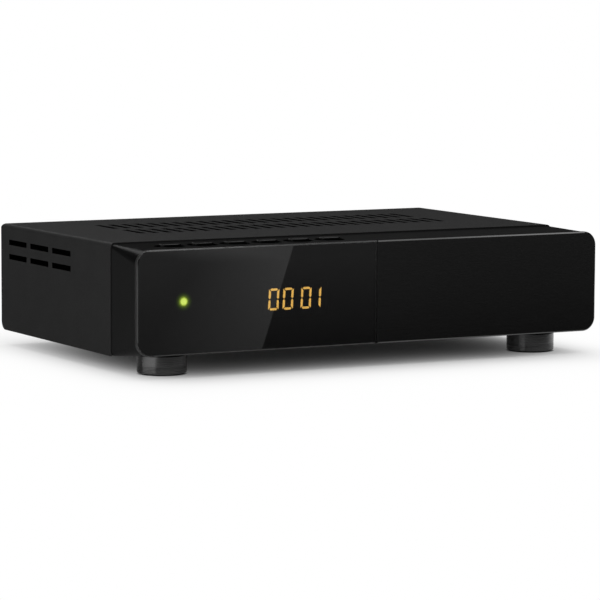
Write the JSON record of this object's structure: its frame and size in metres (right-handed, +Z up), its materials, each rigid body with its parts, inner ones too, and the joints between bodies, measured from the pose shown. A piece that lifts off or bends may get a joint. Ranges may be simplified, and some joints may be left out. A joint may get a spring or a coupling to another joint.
{
  "type": "satellite receiver",
  "caption": "Low satellite television receiver: vented sheet-metal case, moulded bezel with sprung keys, smoked display window, brushed panel, rear sockets and round feet.",
  "frame": {"origin": "centre of the footprint of the whole object, on the table", "axes": "+Z up, -Y out of the front plate, +Y out of the rear sockets, +X to the right as seen from the front"},
  "size_m": [0.22, 0.1544, 0.0538],
  "materials": {
    "smoked_window": "polished smoked acrylic",
    "brushed_front": "hairline brushed, dark anodised",
    "bezel_plastic": "finely grained moulding",
    "key_plastic": "smooth moulding",
    "plunger_plastic": "moulded",
    "switch_plastic": "moulded body with steel cap",
    "circuit_board": "green solder mask on glass laminate",
    "display_plastic": "black display face",
    "segment_light": "lit amber bars",
    "lamp_lens": "clear lens lit yellow-green",
    "lamp_body": "small lamp chip",
    "eye_plastic": "dark infrared-clear resin",
    "cover_paint": "fine satin powder coat on steel",
    "tray_paint": "satin black paint on steel",
    "chip_plastic": "moulded epoxy",
    "sink_metal": "extruded and clear anodised",
    "capacitor_sleeve": "shrunk sleeve over a can",
    "coil_core": "sintered ferrite",
    "tinned_steel": "tin-plated sheet",
    "plated_thread": "nickel plate on brass",
    "socket_plastic": "moulded",
    "socket_metal": "plated pressed shell",
    "jack_plastic": "moulded",
    "jack_metal": "nickel plate",
    "header_plastic": "moulded",
    "ribbon_vinyl": "flat cable jacket",
    "black_screw": "black oxide",
    "zinc_screw": "zinc plate",
    "foot_metal": "turned, dark plated",
    "pad_rubber": "soft black rubber"
  },
  "bodies": {
    "case": {"display_window": "smoked_window", "brushed_panel": "brushed_front", "front_bezel": "bezel_plastic", "key_switches": "switch_plastic", "key_board": "circuit_board", "front_board": "circuit_board", "display_module": "display_plastic", "lit_segments": "segment_light", "status_lens": "lamp_lens", "status_lamp": "lamp_body", "receiver_eye": "eye_plastic", "top_cover": "cover_paint", "base_tray": "tray_paint", "main_board": "circuit_board", "main_chip": "chip_plastic", "heat_sink": "sink_metal", "memory_chips": "chip_plastic", "capacitors": "capacitor_sleeve", "power_coils": "coil_core", "tuner_can": "tinned_steel", "antenna_socket": "plated_thread", "antenna_nut": "plated_thread", "euro_av_socket": "socket_plastic", "video_socket": "socket_metal", "data_socket": "socket_metal", "audio_jack_body": "jack_plastic", "audio_jack_barrel": "jack_metal", "audio_jack_core": "jack_plastic", "power_jack": "jack_plastic", "power_jack_pin": "plated_thread", "ribbon_headers": "header_plastic", "ribbon_cable": "ribbon_vinyl", "cover_screws": "black_screw", "bezel_screws": "zinc_screw", "main_board_screws": "zinc_screw", "front_board_screws": "zinc_screw", "key_board_screws": "zinc_screw", "foot_screws": "zinc_screw", "foot_front_left": "foot_metal", "pad_front_left": "pad_rubber", "foot_front_right": "foot_metal", "pad_front_right": "pad_rubber", "foot_rear_left": "foot_metal", "pad_rear_left": "pad_rubber", "foot_rear_right": "foot_metal", "pad_rear_right": "pad_rubber"},
    "key_1_body": {"key_1": "key_plastic", "switch_plunger_1": "plunger_plastic"},
    "key_2_body": {"key_2": "key_plastic", "switch_plunger_2": "plunger_plastic"},
    "key_3_body": {"key_3": "key_plastic", "switch_plunger_3": "plunger_plastic"},
    "key_4_body": {"key_4": "key_plastic", "switch_plunger_4": "plunger_plastic"},
    "key_5_body": {"key_5": "key_plastic", "switch_plunger_5": "plunger_plastic"},
    "key_6_body": {"key_6": "key_plastic", "switch_plunger_6": "plunger_plastic"}
  },
  "joints": [
    {"name": "key_1_press", "type": "slide", "parent": "case", "child": "key_1_body", "axis": [0, 0, -1], "range_m": [0, 0.0005], "stiffness_N_per_m": 800, "springref_m": -0.0005},
    {"name": "key_2_press", "type": "slide", "parent": "case", "child": "key_2_body", "axis": [0, 0, -1], "range_m": [0, 0.0005], "stiffness_N_per_m": 800, "springref_m": -0.0005},
    {"name": "key_3_press", "type": "slide", "parent": "case", "child": "key_3_body", "axis": [0, 0, -1], "range_m": [0, 0.0005], "stiffness_N_per_m": 800, "springref_m": -0.0005},
    {"name": "key_4_press", "type": "slide", "parent": "case", "child": "key_4_body", "axis": [0, 0, -1], "range_m": [0, 0.0005], "stiffness_N_per_m": 800, "springref_m": -0.0005},
    {"name": "key_5_press", "type": "slide", "parent": "case", "child": "key_5_body", "axis": [0, 0, -1], "range_m": [0, 0.0005], "stiffness_N_per_m": 800, "springref_m": -0.0005},
    {"name": "key_6_press", "type": "slide", "parent": "case", "child": "key_6_body", "axis": [0, 0, -1], "range_m": [0, 0.0005], "stiffness_N_per_m": 800, "springref_m": -0.0005}
  ]
}
